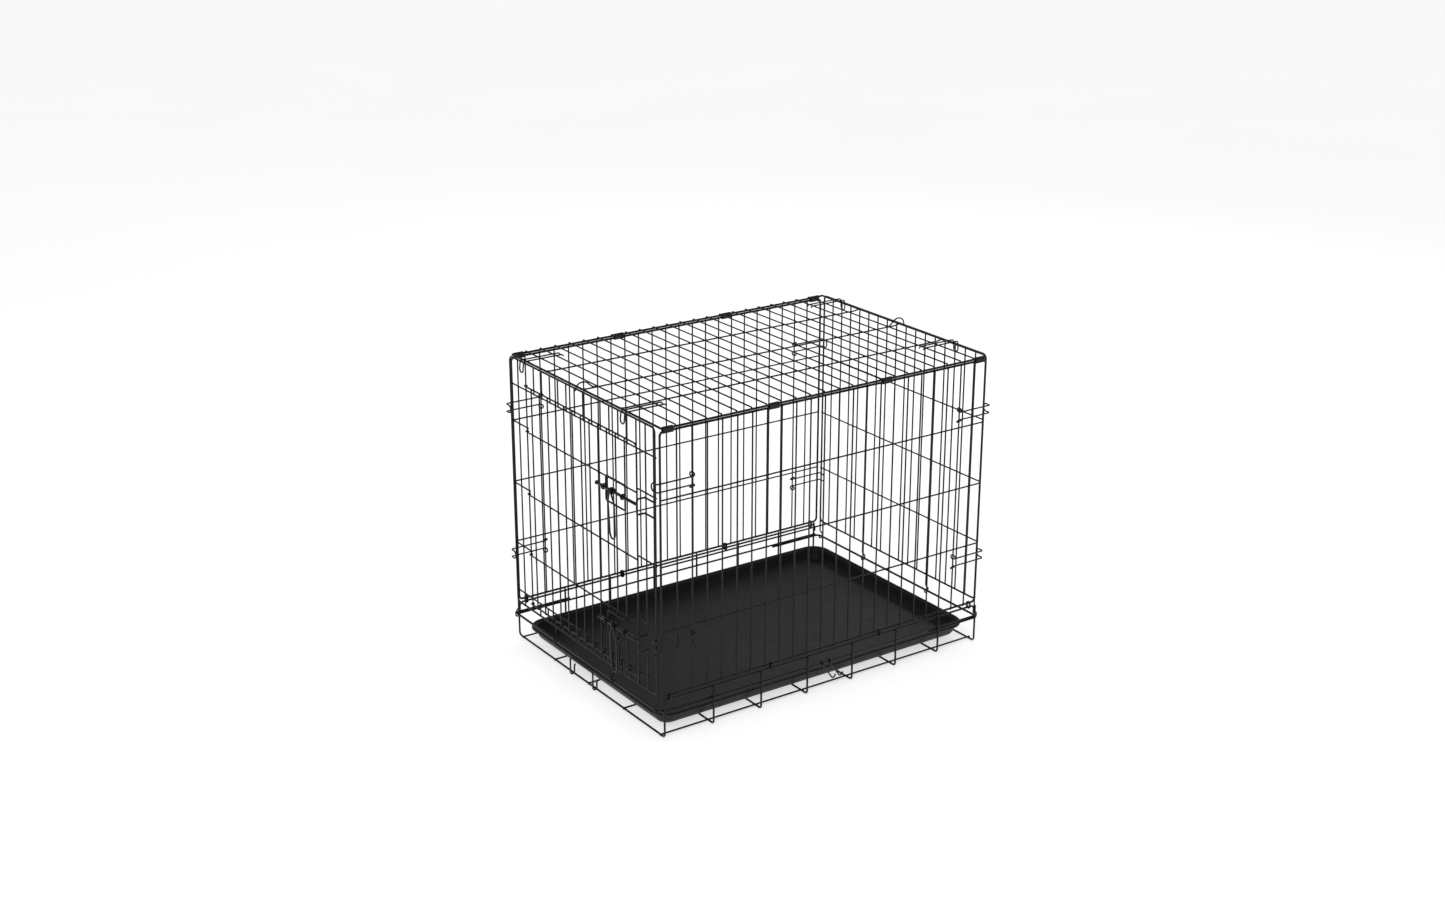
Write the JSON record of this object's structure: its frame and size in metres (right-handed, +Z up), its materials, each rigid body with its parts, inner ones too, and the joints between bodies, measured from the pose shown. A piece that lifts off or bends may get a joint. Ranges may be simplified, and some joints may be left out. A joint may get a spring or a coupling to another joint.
{
  "type": "folding wire dog crate",
  "caption": "Folding wire dog crate with a hinged top, sides and ends, a swinging front door with slide bolts, corner and top clips, and a slide-out plastic floor pan.",
  "frame": {"origin": "centre of the crate's footprint, on the floor", "axes": "+Z up; -Y towards the door end; +X towards the near long side, which is on the right of a person facing the door"},
  "size_m": [0.5484, 0.8008, 0.6244],
  "materials": {
    "wire_coat": "satin black coated wire",
    "frame_coat": "satin black coated wire",
    "spring_wire": "semi-gloss black spring wire",
    "sleeve_steel": "satin black sheet steel",
    "pan_plastic": "satin black moulded plastic"
  },
  "bodies": {
    "base": {"base_frame": "frame_coat", "near_base_sleeve_1": "sleeve_steel", "near_base_sleeve_2": "sleeve_steel", "near_base_sleeve_3": "sleeve_steel", "near_base_sleeve_4": "sleeve_steel", "far_base_sleeve_1": "sleeve_steel", "far_base_sleeve_2": "sleeve_steel", "far_base_sleeve_3": "sleeve_steel", "far_base_sleeve_4": "sleeve_steel"},
    "pan": {"pan": "pan_plastic"},
    "pan_stop": {"pan_stop": "spring_wire"},
    "fold_hook_1": {"fold_hook_1": "spring_wire"},
    "fold_hook_2": {"fold_hook_2": "spring_wire"},
    "front_panel": {"front_panel": "wire_coat"},
    "back_panel": {"back_panel": "wire_coat"},
    "door": {"door": "wire_coat"},
    "near_side": {"near_side_panel": "wire_coat", "near_top_sleeve_1": "sleeve_steel", "near_top_sleeve_2": "sleeve_steel", "near_top_sleeve_3": "sleeve_steel", "near_top_sleeve_4": "sleeve_steel"},
    "far_side": {"far_side_panel": "wire_coat", "far_top_sleeve_1": "sleeve_steel", "far_top_sleeve_2": "sleeve_steel", "far_top_sleeve_3": "sleeve_steel", "far_top_sleeve_4": "sleeve_steel"},
    "top": {"top_panel": "wire_coat", "front_top_clip_1": "spring_wire", "front_top_clip_2": "spring_wire", "back_top_clip_1": "spring_wire", "back_top_clip_2": "spring_wire", "front_centre_hook": "spring_wire", "back_centre_hook": "spring_wire"},
    "front_near_upper_clip": {"front_near_upper_clip": "spring_wire"},
    "front_near_lower_clip": {"front_near_lower_clip": "spring_wire"},
    "front_far_upper_clip": {"front_far_upper_clip": "spring_wire"},
    "front_far_lower_clip": {"front_far_lower_clip": "spring_wire"},
    "back_near_upper_clip": {"back_near_upper_clip": "spring_wire"},
    "back_near_lower_clip": {"back_near_lower_clip": "spring_wire"},
    "back_far_upper_clip": {"back_far_upper_clip": "spring_wire"},
    "back_far_lower_clip": {"back_far_lower_clip": "spring_wire"},
    "upper_bolt": {"upper_bolt": "spring_wire"},
    "upper_bolt_handle": {"upper_bolt_handle": "spring_wire"},
    "lower_bolt": {"lower_bolt": "spring_wire"},
    "lower_bolt_handle": {"lower_bolt_handle": "spring_wire"}
  },
  "joints": [
    {"name": "collapse", "type": "hinge", "parent": "base", "child": "near_side", "pos_m": [0.266, 0.00635, 0.087], "axis": [0, 1, 0], "range_deg": [-88, 0], "deforming": ["front_near_upper_clip", "front_near_lower_clip", "back_near_upper_clip", "back_near_lower_clip", "front_top_clip_1", "front_top_clip_2", "back_top_clip_1", "back_top_clip_2", "front_centre_hook", "back_centre_hook"]},
    {"name": "top_hinge", "type": "hinge", "parent": "near_side", "child": "top", "pos_m": [0.266, 0.00635, 0.607], "axis": [0, 1, 0], "range_deg": [0, 88]},
    {"name": "far_side_hinge", "type": "hinge", "parent": "base", "child": "far_side", "pos_m": [-0.266, 0.00635, 0.087], "axis": [0, 1, 0], "range_deg": [-88, 0]},
    {"name": "front_fold", "type": "hinge", "parent": "base", "child": "front_panel", "pos_m": [0, -0.38165, 0.0591], "axis": [1, 0, 0], "range_deg": [-90, 0]},
    {"name": "back_fold", "type": "hinge", "parent": "base", "child": "back_panel", "pos_m": [0, 0.39435, 0.0509], "axis": [-1, 0, 0], "range_deg": [-90, 0]},
    {"name": "door_hinge", "type": "hinge", "parent": "front_panel", "child": "door", "pos_m": [-0.19844, -0.37945, 0.34], "axis": [0, 0, -1], "range_deg": [0, 160]},
    {"name": "upper_bolt_slide", "type": "slide", "parent": "door", "child": "upper_bolt", "axis": [1, 0, 0], "range_m": [0, 0.016]},
    {"name": "upper_handle_swing", "type": "hinge", "parent": "upper_bolt", "child": "upper_bolt_handle", "pos_m": [0.134, -0.39265, 0.455], "axis": [-1, 0, 0], "range_deg": [0, 100]},
    {"name": "lower_bolt_slide", "type": "slide", "parent": "door", "child": "lower_bolt", "axis": [1, 0, 0], "range_m": [0, 0.016]},
    {"name": "lower_handle_swing", "type": "hinge", "parent": "lower_bolt", "child": "lower_bolt_handle", "pos_m": [0.134, -0.39265, 0.185], "axis": [-1, 0, 0], "range_deg": [0, 100]},
    {"name": "front_near_upper_clip_swing", "type": "hinge", "parent": "near_side", "child": "front_near_upper_clip", "pos_m": [0.26945, -0.30715, 0.5], "axis": [0, 0, 1], "range_deg": [0, 110]},
    {"name": "front_near_lower_clip_swing", "type": "hinge", "parent": "near_side", "child": "front_near_lower_clip", "pos_m": [0.26945, -0.30715, 0.19], "axis": [0, 0, 1], "range_deg": [0, 110]},
    {"name": "front_far_upper_clip_swing", "type": "hinge", "parent": "far_side", "child": "front_far_upper_clip", "pos_m": [-0.26945, -0.30715, 0.5], "axis": [0, 0, -1], "range_deg": [0, 110]},
    {"name": "front_far_lower_clip_swing", "type": "hinge", "parent": "far_side", "child": "front_far_lower_clip", "pos_m": [-0.26945, -0.30715, 0.19], "axis": [0, 0, -1], "range_deg": [0, 110]},
    {"name": "back_near_upper_clip_swing", "type": "hinge", "parent": "near_side", "child": "back_near_upper_clip", "pos_m": [0.26945, 0.31985, 0.5], "axis": [0, 0, -1], "range_deg": [0, 110]},
    {"name": "back_near_lower_clip_swing", "type": "hinge", "parent": "near_side", "child": "back_near_lower_clip", "pos_m": [0.26945, 0.31985, 0.19], "axis": [0, 0, -1], "range_deg": [0, 110]},
    {"name": "back_far_upper_clip_swing", "type": "hinge", "parent": "far_side", "child": "back_far_upper_clip", "pos_m": [-0.26945, 0.31985, 0.5], "axis": [0, 0, 1], "range_deg": [0, 110]},
    {"name": "back_far_lower_clip_swing", "type": "hinge", "parent": "far_side", "child": "back_far_lower_clip", "pos_m": [-0.26945, 0.31985, 0.19], "axis": [0, 0, 1], "range_deg": [0, 110]},
    {"name": "pan_slide", "type": "slide", "parent": "base", "child": "pan", "axis": [0, 1, 0], "range_m": [0, 0.6]},
    {"name": "pan_stop_swing", "type": "hinge", "parent": "base", "child": "pan_stop", "pos_m": [-0.0185, -0.37165, 0.0058], "axis": [1, 0, 0], "range_deg": [0, 85]},
    {"name": "fold_hook_1_swing", "type": "hinge", "parent": "base", "child": "fold_hook_1", "pos_m": [0.2681, -0.00465, 0.055], "axis": [0, -1, 0], "range_deg": [0, 120]},
    {"name": "fold_hook_2_swing", "type": "hinge", "parent": "base", "child": "fold_hook_2", "pos_m": [0.2681, 0.01335, 0.055], "axis": [0, -1, 0], "range_deg": [0, 120]}
  ],
  "couplings": [
    {"joint": "top_hinge", "follows": "collapse", "ratio": -1},
    {"joint": "far_side_hinge", "follows": "collapse", "ratio": 1}
  ]
}
